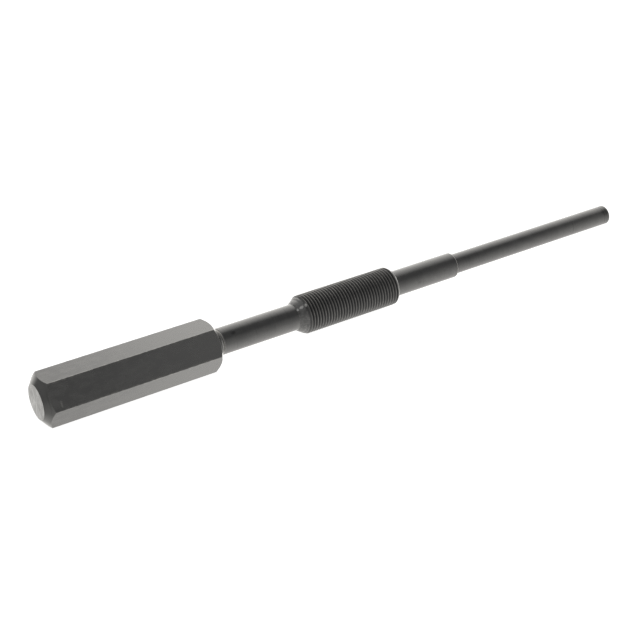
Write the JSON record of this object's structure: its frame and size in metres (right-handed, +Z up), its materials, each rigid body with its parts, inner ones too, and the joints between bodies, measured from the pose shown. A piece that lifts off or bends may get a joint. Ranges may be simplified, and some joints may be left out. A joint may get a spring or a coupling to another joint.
{
  "type": "clutch puller bolt",
  "caption": "Long blackened steel puller bolt: chamfered hexagon head, plain shank, fine-threaded middle, guide shank and a thin flat-tipped push rod.",
  "frame": {"origin": "centre of the hexagon head's free end face, on the tool's axis", "axes": "+X along the axis from the head towards the push rod's tip, +Z up out of the hexagon's top flat with the tool lying on the opposite flat, +Y to the left seen from the head"},
  "size_m": [0.3334, 0.0256, 0.0222],
  "materials": {
    "black_oxide_hex_bar": "satin black oxide over drawn hexagon bar, end face turned and thinly blackened",
    "black_oxide_turned": "satin black oxide over fine lathe marks",
    "black_oxide_thread": "oiled black oxide over a cut thread"
  },
  "bodies": {
    "root": {"hex_head": "black_oxide_hex_bar", "head_shank": "black_oxide_turned", "puller_thread": "black_oxide_thread", "guide_shank": "black_oxide_turned", "push_rod": "black_oxide_turned"}
  },
  "joints": []
}
